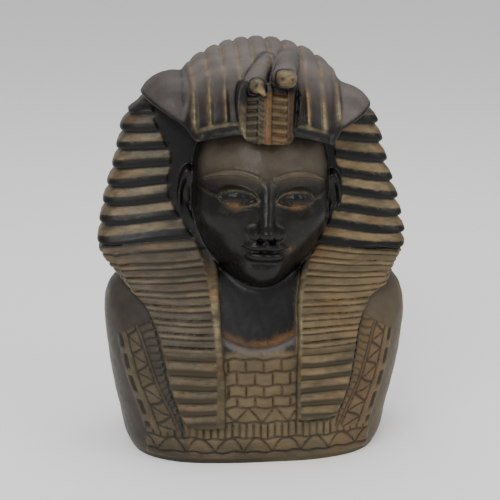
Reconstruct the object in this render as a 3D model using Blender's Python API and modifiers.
"""Bust of a pharaoh in a striped headcloth, cast in one piece and cut off flat below the collar.

It faces -Y, with +Z up and the origin at the middle of its flat underside.
The bust is blocked in with a few solids, then pared down, round by round, to the figure that form()
describes: how far a point lies outside it. Run it with blender --background --python part.py.
"""

import bmesh
import bpy
import numpy as np

HEIGHT = 0.140  # underside to the top of the crown, in metres
PART = HEIGHT / 140  # the figure's own unit: every length below is in 140ths of its height

# The chest and shoulders: at each level, half width, reach forward and reach back
BODY_LEVELS = (-6, 0, 3, 12, 26, 40, 47, 52, 56, 59, 62, 65)
BODY_HALF_WIDTH = (42.8, 43.6, 45.1, 47.3, 50.5, 52.4, 52.9, 52.1, 50.2, 46.4, 38.0, 26.0)
BODY_FRONT = (33.5, 34.2, 35.0, 35.6, 35.0, 31.8, 28.5, 25.5, 23.0, 21.0, 18.5, 15.0)
BODY_BACK = (28.0, 28.6, 29.4, 30.6, 31.5, 31.5, 31.0, 30.0, 28.5, 26.5, 23.5, 19.0)
BODY_TOP = 64.0
SHOULDER_POWER = 2.6  # how square the level sections are
FOOT_POWER = 3.0
FOOT_X = -1.2  # the foot sits this far to the figure's right

# The headcloth's wings beside the face
WING_LEVELS = (53, 58, 63, 69, 80, 98, 106, 112, 117, 121, 125)
WING_HALF_WIDTH = (40.6, 44.2, 48.2, 52.8, 52.6, 47.8, 45.9, 44.3, 41.6, 37.5, 26.0)
WING_FRONT = (-29.5, -24.6, -19.5, -14.6, -9.8, -6.4, -5.6, -5.0, -4.2, -3.0, 0.0)
WING_BACK = (20.0, 24.0, 26.0, 28.0, 31.0, 34.5, 34.8, 34.0, 30.0, 24.0, 14.0)
WING_FOOT = 57.0
WING_TOP = 124.0
WING_X = -1.0
WING_EDGE = 11.0  # from the wing's front face back to its widest place
WING_FRONT_POWER = 5.0
WING_BACK_POWER = 2.3

# The two lappets that hang from the wings over the chest
CHEST_X = -1.2  # middle of the lappets and of the rows between them
LAPPET_LEVELS = (10, 18, 26, 38, 44, 50, 55, 59, 63, 69)
LAPPET_OUTER = (24.5, 26.6, 29.4, 32.0, 33.2, 35.6, 38.8, 42.4, 45.8, 49.5)
LAPPET_FRONT = (-37.6, -37.7, -37.5, -36.4, -34.8, -31.8, -27.6, -23.6, -19.5, -14.6)
LAPPET_TURN = 15.0  # beyond this the lappet's face bends back round the chest
LAPPET_BEND = 6.0
LAPPET_FOOT = (13.6, 16.0)  # on the figure's right and left
LAPPET_TOP = 70.0

# The plain strip along the inner edge of wings and lappets
BORDER_LEVELS = (12, 58, 70, 80, 92, 101, 107, 113)
BORDER_WIDTH = (3.0, 3.0, 4.8, 4.6, 5.5, 7.6, 11.5, 15.5)
BORDER_SHARE = (1.05, 0.75)  # of those widths, on the figure's right and left
BORDER_HEIGHT = (1.7, 0.7)  # over the bare cloth, below and above the neck

# The open well between the lappets, around the neck and the ears
WELL_LEVELS = (12, 32, 44, 54, 60, 66, 72, 80, 88, 94, 100, 112)
WELL_HALF_WIDTH = (12.0, 12.2, 13.0, 13.4, 13.9, 14.8, 17.2, 22.6, 26.2, 25.4, 22.8, 19.5)
WELL_FLOOR = 1.0

# Ribs: wide ones on the wings, and below RIB_MEET narrow ones on the lappets
RIB_MEET = (67.7, 70.7)  # on the figure's right and left wing, at RIB_ANCHOR from the middle
RIB_ANCHOR = 29.0
RIB_DROOP = (0.08, 0.15)  # fall for each part outwards
WING_PITCH = 6.0
WING_RELIEF = 2.0
LAPPET_PITCH = (4.43, 4.07)
LAPPET_RELIEF = 0.9
RIB_CREST = 0.72  # how far down a rib its crest lies

# Crown of the headcloth, its flutes, and the soft fold over each wing
CROWN_CENTRE = (0.8, 0.5, 104.0)
CROWN_RADII = (37.0, 33.5, 36.3)
FLUTE_START = -1.9
FLUTE_PITCH = (5.0, 5.7)  # towards the figure's right and left
FLUTE_RELIEF = 1.4
FLUTE_REACH = 26.5
FOLD_X = -2.2  # from the head's middle line
FOLD_CENTRE = (27.8, -4.0, 113.7)
FOLD_LIFT = (2.6, 0.0)  # of the folds on the figure's right and left
FOLD_RADII = (13.0, 15.0, 12.7)

# The edge of the headcloth over the brow, and the band along it
BROW_LINE = 112.6  # over the middle of the forehead
BROW_TURN = 22.5  # beyond this the line climbs to the wing's corner
BROW_FALL = 4.4  # from the middle to the turn
BROW_CLIMB = 0.63
BROW_UNDER = 30.0  # the edge drops this far behind the wings, out of sight
BAND_HEIGHT = 4.2
BAND_RIM = 0.8
BAND_FOOT = 0.4

# Head and neck, placed about the head's own middle line: centres and radii of the balls
HEAD_X = 1.2
HEAD_LEVEL = 85.0
HEAD_LEAN = 0.045  # the head leans a little to the figure's left
SKULL = (0, -4.0, 94.0), (23.6, 24.5, 29.0)
JAW = (0, -12.5, 79.0), (19.5, 18.0, 19.5)
CHIN = (0, -21.8, 65.6), (7.6, 8.6, 6.0)
MOUTH = (0, -21.0, 75.0), (10.5, 10.6, 8.0)
CHEEK = (13.0, -17.5, 84.0), (8.5, 11.0, 8.0)
SOCKET = (9.6, -36.0, 91.4), (7.8, 7.4, 4.4)
EYE = (9.5, -23.6, 90.4), (6.6, 6.0, 4.6)
NOSE_TOP = (0, -28.3, 94.0)
NOSE_FOOT = (0, -32.8, 80.6)
NOSE_RADII = (1.9, 2.5)
NOSE_TIP = (0, -33.4, 79.9), (2.9, 3.3, 2.5)
NOSTRIL = (3.3, -31.2, 79.2), (2.1, 2.9, 2.0)
UPPER_LIP = (2.4, -30.6, 75.0), (4.7, 3.0, 1.6)
LOWER_LIP = (1.7, -30.2, 72.0), (4.7, 3.1, 1.9)
EAR = (25.0, -5.5, 86.5), (3.6, 3.2, 10.5)
EAR_HOLLOW = (25.4, -9.6, 88.0), (1.7, 2.2, 6.0)
NECK_FOOT = (-1.2, -6.5, 36.0)
NECK_TOP = (0, -8.0, 72.0)
NECK_RADII = (15.0, 13.4)

# Brow ornament: a vulture's and a cobra's head over two ribbed hoods with a bar between them
HOOD_X = -0.9  # from the head's middle line
HOOD_LEVELS = (109.5, 113.5, 119, 125, 129)
HOOD_HALF_WIDTH = (6.9, 8.8, 10.2, 10.4, 9.0)
HOOD_MIDDLE = 119.4
HOOD_HALF_HEIGHT = 9.6
HOOD_FRONT = -34.4
HOOD_SLOPE = 0.26
HOOD_BACK = -20.0
PANELS = (-7.2, -3.9), (1.0, 5.7)  # the sunk ladders, across the hoods
PANEL_TOP = 125.5
PANEL_RELIEF = 1.5
RUNG_PITCH = 2.5
RUNG_RELIEF = 1.2
VULTURE = (-4.4, -31.2, 128.5), (2.6, 4.0, 2.4)
BEAK_TOP = (-4.2, -34.2, 128.5)
BEAK_TIP = (-2.2, -34.4, 126.0)
BEAK_RADII = (1.4, 0.7)
COBRA = (4.9, -31.4, 131.0), (3.1, 4.2, 2.7)
VULTURE_NAPE = (-4.4, -26.6, 128.0), (0.3, -15.0, 134.0), (4.0, 2.4)
COBRA_NAPE = (4.7, -27.2, 130.6), (7.4, -13.0, 135.6), (4.0, 2.8)

# The gathered tail of the cloth down the back
TAIL_TOP = (0, 27.5, 70.0)
TAIL_FOOT = (0, 29.5, 22.0)
TAIL_RADII = (8.5, 4.2)
TAIL_WRAP = 3.2
TAIL_RELIEF = 0.5

# The collar: rows across the breast, and bands that climb over the shoulders
COLLAR_ROWS = (4.2, 9.3, 15.3, 20.0, 24.2, 28.3, 33.1, 37.9)
COLLAR_BANDS = (7.0, 12.4, 15.6)  # distances out from the lappets
COLLAR_EDGE = 16.2
COLLAR_NECK = 39.8  # level of the top edge in the middle
COLLAR_CURVE = 0.025  # rise from there to the lappets
COLLAR_SHOULDER = 80.6
COLLAR_FALL = 0.85  # fall of the top edge over the shoulders
COLLAR_RELIEF = 0.6

# How the block is worked down: size of the net, rounds, and the most that a round takes off
PASSES = ((2.4, 12, 2.0), (1.4, 3, 1.0), (0.8, 2, 0.5))
LAST_ROUNDS = 3
TRIANGLES = 9700
FLOOR = -3.0  # the block is worked on down to here, below the cut


def curve(at, levels, values):
    """A smooth value at each level, through the listed ones."""
    levels, values = np.array(levels, float), np.array(values, float)
    slopes = np.gradient(values, levels)
    i = np.clip(np.searchsorted(levels, at) - 1, 0, len(levels) - 2)
    step = levels[i + 1] - levels[i]
    t = np.clip((at - levels[i]) / step, 0, 1)
    rise = t * t * (3 - 2 * t)
    bend = t * (1 - t)
    return (
        values[i] * (1 - rise)
        + values[i + 1] * rise
        + step * bend * ((1 - t) * slopes[i] - t * slopes[i + 1])
    )


def ramp(value, low, high):
    """0 below low, 1 above high, smooth between."""
    t = np.clip((value - low) / (high - low), 0, 1)
    return t * t * (3 - 2 * t)


def join(a, b, soft):
    """Both solids together, with a fillet of about that size."""
    h = np.clip(0.5 + 0.5 * (b - a) / soft, 0, 1)
    return b * (1 - h) + a * h - soft * h * (1 - h)


def common(a, b, soft):
    """What both solids share, with the edge rounded."""
    return -join(-a, -b, soft)


def section(across, along, width, depth, power):
    """How far outside a superellipse a point of a flat section lies."""
    reach = np.hypot(across, along) + 1e-6
    size = (np.abs(across / width) ** power + np.abs(along / depth) ** power) ** (1 / power)
    return reach * (1 - 1 / (size + 1e-6))


def ball(x, y, z, centre, radii):
    """How far outside an ellipsoid a point lies."""
    offset = np.stack((x - centre[0], y - centre[1], z - centre[2]))
    radii = np.array(radii, float)[:, None]
    near = np.linalg.norm(offset / radii, axis=0)
    steep = np.linalg.norm(offset / radii**2, axis=0) + 1e-9
    return near * (near - 1) / steep


def rod(x, y, z, start, end, radii):
    """How far outside a round-ended rod, which tapers between two radii, a point lies."""
    start, end = np.array(start, float), np.array(end, float)
    along = end - start
    offset = np.stack((x - start[0], y - start[1], z - start[2]), -1)
    t = np.clip(offset @ along / (along @ along), 0, 1)
    width = radii[0] + t * (radii[1] - radii[0])
    return np.linalg.norm(offset - t[:, None] * along, axis=1) - width


def ridge(phase, sharp=2.6):
    """A rounded ridge in each whole step of phase: 0 in the groove, 1 on the crest."""
    return 1 - np.abs(2 * (phase % 1) - 1) ** sharp


def shingle(phase):
    """A lapped rib in each whole step of phase, which swells downwards and ends in a step."""
    down = 1 - phase % 1
    swell = np.sin(0.5 * np.pi * np.minimum(down / RIB_CREST, 1))
    return swell - (np.maximum(down - RIB_CREST, 0) / (1 - RIB_CREST)) ** 2.2


def between(value, limits, soft=0.2):
    """1 between the two limits, 0 outside them."""
    return ramp(value, limits[0] - soft, limits[0] + soft) * (1 - ramp(value, limits[1] - soft, limits[1] + soft))


def by_side(x, pair):
    """The first value on the figure's right, the second on its left."""
    return np.where(x < 0, pair[0], pair[1])


def cloth_middle(z):
    return CHEST_X + (HEAD_X - CHEST_X) * ramp(z, 50, 75)


def cloth_height(x, z):
    """Height of ribs and inner strip over the bare cloth, along the wings and lappets."""
    outwards = (np.abs(x) - RIB_ANCHOR) * ramp(z, 55, 75)
    above = z - by_side(x, RIB_MEET) + by_side(x, RIB_DROOP) * outwards
    wide = WING_RELIEF * shingle(above / WING_PITCH)
    narrow = WING_RELIEF - LAPPET_RELIEF * (1 - shingle(above / by_side(x, LAPPET_PITCH)))
    ribs = np.where(above > 0, wide, narrow)
    inner = curve(z, BORDER_LEVELS, BORDER_WIDTH) * by_side(x, BORDER_SHARE)
    inner = inner + curve(z, WELL_LEVELS, WELL_HALF_WIDTH)
    plain = 1 - ramp(np.abs(x - cloth_middle(z)) - inner, -0.4, 0.4)
    plain = np.maximum(plain, 1 - ramp(z - by_side(x, LAPPET_FOOT), 0.8, 2.0))
    strip = BORDER_HEIGHT[0] + (BORDER_HEIGHT[1] - BORDER_HEIGHT[0]) * ramp(z, 64, 80)
    return ribs + plain * (strip - ribs)


def flute_height(x):
    """Height of the flutes that run back over the crown."""
    across = x - FLUTE_START
    return FLUTE_RELIEF * ridge(across / by_side(across, FLUTE_PITCH))


def grooves(value, places):
    """1 in the grooves at the listed places, 0 between them."""
    cut = np.zeros_like(value)
    for place in places:
        cut = np.maximum(cut, 1 - ramp(np.abs(value - place), 0.2, 1.0))
    return cut


def collar_height(x, y, z):
    """Height of the collar's rows and bands over the bare chest."""
    side = np.abs(x - CHEST_X)
    out = side - curve(z, LAPPET_LEVELS, LAPPET_OUTER)
    at_side = ramp(out, -1.0, 0.5)
    cut = grooves(z, COLLAR_ROWS) * (1 - at_side) + grooves(out, COLLAR_BANDS) * at_side * ramp(z, 8, 12)
    edge = np.minimum(COLLAR_NECK + COLLAR_CURVE * side**2, COLLAR_SHOULDER - COLLAR_FALL * side)
    worn = ramp(-y, 4, 10) * (1 - ramp(z - edge, -1, 1)) * ramp(z, 1, 3)
    worn = worn * (1 - ramp(out, COLLAR_EDGE - 0.4, COLLAR_EDGE + 0.4))
    return worn * COLLAR_RELIEF * (1 - cut)


def chest(x, y, z):
    lean = FOOT_X * (1 - ramp(z, 0, 45))
    width = curve(z, BODY_LEVELS, BODY_HALF_WIDTH)
    depth = np.where(y < 0, curve(z, BODY_LEVELS, BODY_FRONT), curve(z, BODY_LEVELS, BODY_BACK))
    power = FOOT_POWER + (SHOULDER_POWER - FOOT_POWER) * ramp(z, 0, 30)
    side = section(x - lean, y, width, depth, power) - collar_height(x, y, z)
    return common(side, z - BODY_TOP, 3)


def wings(x, y, z):
    """The headcloth below its crown, with its ribs, right round the back."""
    width = curve(z, WING_LEVELS, WING_HALF_WIDTH)
    front = curve(z, WING_LEVELS, WING_FRONT)
    back = curve(z, WING_LEVELS, WING_BACK)
    middle = front + WING_EDGE
    ahead = y < middle
    depth = np.where(ahead, WING_EDGE, back - middle)
    power = np.where(ahead, WING_FRONT_POWER, WING_BACK_POWER)
    ribs = cloth_height(x, z) * (1 - ramp(z, 115, 119)) * (1 - 0.5 * ramp(y, 10, 25))
    side = section(x - WING_X * ramp(z, 58, 66), y - middle, width, depth, power)
    return common(common(side + WING_RELIEF - ribs, WING_FOOT - z, 2), z - WING_TOP, 4)


def lappets(x, y, z):
    side = np.abs(x - CHEST_X * (1 - ramp(z, 55, 70)))
    outer = curve(z, LAPPET_LEVELS, LAPPET_OUTER)
    bend = LAPPET_BEND * (np.maximum(side - LAPPET_TURN, 0) / 26) ** 2 * (1 - ramp(z, 50, 62))
    face = curve(z, LAPPET_LEVELS, LAPPET_FRONT) + bend - y + WING_RELIEF - cloth_height(x, z)
    outline = common(common(0.8 * (side - outer), by_side(x, LAPPET_FOOT) - z, 5), z - LAPPET_TOP, 1)
    return common(common(face, outline, 1.2), y + 2, 1)


def brow_line(x):
    """Level of the headcloth's edge: arched over the brow, then climbing to the wing's corner."""
    side = np.abs(x - HEAD_X)
    arch = BROW_LINE - BROW_FALL * np.minimum(side / BROW_TURN, 1) ** 2
    return arch + BROW_CLIMB * np.maximum(side - BROW_TURN, 0) - HEAD_LEAN * (x - HEAD_X)


def crown(x, y, z):
    """The fluted crown with its brow band, and the folds over the wings."""
    line = brow_line(x)
    over = z - line - BAND_HEIGHT
    side = np.abs(x - HEAD_X)
    flutes = ramp(over, 0, 1.2) * (1 - ramp(side, FLUTE_REACH - 1, FLUTE_REACH + 1)) * (1 - ramp(y, 20, 34))
    band = BAND_RIM * (ramp(over, -1.6, -1.0) - ramp(over, 0, 0.6)) + BAND_FOOT * (1 - ramp(over, -3.4, -2.8))
    band = band * (1 - ramp(side, BROW_TURN - 1, BROW_TURN + 1))
    dome = ball(x, y, z, CROWN_CENTRE, CROWN_RADII) + 1 - flutes * flute_height(x) - band
    own_x, own_z = head_frame(x, z)
    own_z = own_z - by_side(own_x, FOLD_LIFT)
    fold = ball(np.abs(own_x - FOLD_X), y, own_z, FOLD_CENTRE, FOLD_RADII)
    return common(join(dome, fold, 1.5), line - BROW_UNDER * ramp(y, 4, 16) - z, 0.8)


def headcloth(x, y, z):
    """Wings and lappets, opened around neck and face, with the crown on top."""
    well = np.abs(x - cloth_middle(z)) - curve(z, WELL_LEVELS, WELL_HALF_WIDTH)
    well = common(well, y - WELL_FLOOR, 2)
    hanging = common(join(wings(x, y, z), lappets(x, y, z), 2.0), -well, 1.2)
    return join(hanging, crown(x, y, z), 0.8)


def head_frame(x, z):
    """The leaning head's own x and z."""
    return x - HEAD_X - HEAD_LEAN * (z - HEAD_LEVEL), z + HEAD_LEAN * (x - HEAD_X)


def head(x, y, z):
    """Face, ears and neck."""
    x, z = head_frame(x, z)
    side = np.abs(x)
    face = join(ball(x, y, z, *SKULL), ball(x, y, z, *JAW), 9)
    face = join(join(face, ball(x, y, z, *CHIN), 4), ball(x, y, z, *MOUTH), 5)
    face = common(join(face, ball(side, y, z, *CHEEK), 6), -ball(side, y, z, *SOCKET), 4)
    face = join(face, ball(side, y, z, *EYE), 0.8)
    nose = join(rod(x, y, z, NOSE_TOP, NOSE_FOOT, NOSE_RADII), ball(x, y, z, *NOSE_TIP), 1.5)
    face = join(face, join(nose, ball(side, y, z, *NOSTRIL), 1.0), 2.0)
    face = join(face, join(ball(side, y, z, *UPPER_LIP), ball(side, y, z, *LOWER_LIP), 0.3), 0.9)
    ear = common(ball(side, y, z, *EAR), -ball(side, y, z, *EAR_HOLLOW), 0.8)
    return join(join(face, ear, 0.8), rod(x, y, z, NECK_FOOT, NECK_TOP, NECK_RADII), 4)


def ornament(x, y, z):
    """The two ribbed hoods, the bar between them, and the two heads with their napes."""
    x, z = head_frame(x, z)
    x = x - HOOD_X
    panels = (between(x, PANELS[0]) + between(x, PANELS[1])) * (1 - ramp(z, 127.5, 128.5))
    rungs = RUNG_RELIEF * ridge((z - HOOD_MIDDLE) / RUNG_PITCH, 2.0) * (1 - ramp(z - PANEL_TOP, -0.5, 0.5))
    face = HOOD_FRONT + HOOD_SLOPE * (z - HOOD_LEVELS[0]) - y + panels * (PANEL_RELIEF - rungs)
    outline = np.abs(x) - curve(z, HOOD_LEVELS, HOOD_HALF_WIDTH)
    outline = common(outline, np.abs(z - HOOD_MIDDLE) - HOOD_HALF_HEIGHT, 2)
    hoods = common(common(face, outline, 0.8), y - HOOD_BACK, 1)
    vulture = join(ball(x, y, z, *VULTURE), rod(x, y, z, BEAK_TOP, BEAK_TIP, BEAK_RADII), 0.8)
    heads = join(vulture, ball(x, y, z, *COBRA), 0.5)
    napes = join(rod(x, y, z, *VULTURE_NAPE), rod(x, y, z, *COBRA_NAPE), 1.0)
    return join(join(hoods, napes, 0.8), heads, 0.4)


def tail(x, y, z):
    wrapped = TAIL_RELIEF * ridge(z / TAIL_WRAP, 2.0) * (1 - ramp(z, 60, 64))
    return rod(x, y, z, TAIL_TOP, TAIL_FOOT, TAIL_RADII) - wrapped


def form(points):
    """How far outside the figure each point lies, in parts; negative inside."""
    x, y, z = points.T
    body = join(chest(x, y, z), head(x, y, z), 1.5)
    body = join(body, headcloth(x, y, z), 0.8)
    body = join(body, ornament(x, y, z), 0.6)
    return common(join(body, tail(x, y, z), 2.0), FLOOR - z, 0.5)


def add_block(shape, centre, size):
    """One rough solid, centred and sized in parts."""
    place = [c * PART for c in centre]
    if shape == "box":
        bpy.ops.mesh.primitive_cube_add(size=1, location=place)
    else:
        bpy.ops.mesh.primitive_uv_sphere_add(segments=32, ring_count=20, radius=0.5, location=place)
    block = bpy.context.object
    block.scale = [s * PART for s in size]
    return block


def block_in():
    """The bust roughed out in five overlapping solids, joined into one object."""
    blocks = [
        add_block("box", (0, -2, 26), (100, 60, 66)),
        add_block("ball", (0, 8, 88), (108, 56, 94)),
        add_block("ball", (0, -8, 92), (52, 58, 66)),
        add_block("box", (0, -6, 56), (34, 30, 40)),
        add_block("ball", (0, -26, 120), (22, 24, 28)),
    ]
    bpy.ops.object.select_all(action="DESELECT")
    for block in blocks:
        block.select_set(True)
    bpy.context.view_layer.objects.active = blocks[0]
    bpy.ops.object.join()
    bpy.ops.object.transform_apply(location=True, rotation=True, scale=True)
    return blocks[0]


def apply(obj, kind, **settings):
    """Adds a modifier with these settings and applies it."""
    modifier = obj.modifiers.new(kind.title(), kind)
    for name, value in settings.items():
        setattr(modifier, name, value)
    bpy.context.view_layer.objects.active = obj
    bpy.ops.object.modifier_apply(modifier=modifier.name)


def read_vectors(mesh, what):
    values = np.empty(len(mesh.vertices) * 3)
    mesh.vertices.foreach_get(what, values)
    return values.reshape(-1, 3)


def write_points(mesh, points):
    mesh.vertices.foreach_set("co", points.ravel())
    mesh.update()


def pare(obj, most):
    """Takes each vertex straight in or out by its distance from the figure, up to a limit."""
    mesh = obj.data
    points = read_vectors(mesh, "co") / PART
    outside = np.clip(form(points), -most, most)
    write_points(mesh, (points - outside[:, None] * read_vectors(mesh, "normal")) * PART)


def relax(mesh, points, share):
    """Draws each point towards the middle of its neighbours."""
    ends = np.empty(len(mesh.edges) * 2, dtype=np.int32)
    mesh.edges.foreach_get("vertices", ends)
    a, b = ends.reshape(-1, 2).T
    near = np.empty_like(points)
    for axis in range(3):
        near[:, axis] = np.bincount(a, points[b, axis], len(points))
        near[:, axis] += np.bincount(b, points[a, axis], len(points))
    near /= np.bincount(ends, minlength=len(points))[:, None]
    return points + share * (near - points)


def finish_surface(obj, rounds):
    """Moves every vertex onto the figure's surface, down the slope of form()."""
    mesh = obj.data
    points = read_vectors(mesh, "co") / PART
    nudge = 0.05
    for _ in range(rounds):
        points = relax(mesh, points, 0.25)
        outside = form(points)
        slope = np.empty_like(points)
        for axis in range(3):
            ahead = points.copy()
            ahead[:, axis] += nudge
            slope[:, axis] = (form(ahead) - outside) / nudge
        steep = np.maximum((slope**2).sum(1), 0.3)
        step = -(outside / steep)[:, None] * slope
        length = np.linalg.norm(step, axis=1, keepdims=True)
        points += step * np.minimum(1, 0.5 / (length + 1e-9))
    write_points(mesh, points * PART)


def cut_flat(obj):
    """Cuts the figure off at the ground and closes the underside."""
    mesh = bmesh.new()
    mesh.from_mesh(obj.data)
    every = mesh.verts[:] + mesh.edges[:] + mesh.faces[:]
    cut = bmesh.ops.bisect_plane(
        mesh, geom=every, dist=1e-6, plane_co=(0, 0, 0), plane_no=(0, 0, 1), clear_inner=True
    )
    rim = [g for g in cut["geom_cut"] if isinstance(g, bmesh.types.BMEdge)]
    bmesh.ops.holes_fill(mesh, edges=rim)
    bmesh.ops.recalc_face_normals(mesh, faces=mesh.faces[:])
    mesh.to_mesh(obj.data)
    mesh.free()


def black_patina():
    """Black casting, darkened all over, with a little bronze rubbed on."""
    material = bpy.data.materials.new("black_patina")
    material.use_nodes = True
    shader = material.node_tree.nodes["Principled BSDF"]
    shader.inputs["Base Color"].default_value = (0.035, 0.032, 0.030, 1)
    shader.inputs["Roughness"].default_value = 0.45
    shader.inputs["Metallic"].default_value = 0.1
    return material


def make_bust():
    bust = block_in()
    bust.name = "bust"
    for net, rounds, most in PASSES:
        for _ in range(rounds):
            apply(bust, "REMESH", mode="VOXEL", voxel_size=net * PART)
            pare(bust, most)
    apply(bust, "REMESH", mode="VOXEL", voxel_size=PASSES[-1][0] * PART)
    finish_surface(bust, LAST_ROUNDS)
    faces = 2 * len(bust.data.polygons)
    apply(bust, "DECIMATE", ratio=TRIANGLES / faces, use_collapse_triangulate=True)
    cut_flat(bust)
    bust.data.shade_smooth()
    bust.data.materials.append(black_patina())
    collection = bpy.data.collections.new("pharaoh_bust")
    bpy.context.scene.collection.children.link(collection)
    for other in bust.users_collection:
        other.objects.unlink(bust)
    collection.objects.link(bust)


def main():
    for obj in list(bpy.data.objects):
        bpy.data.objects.remove(obj)
    make_bust()


main()
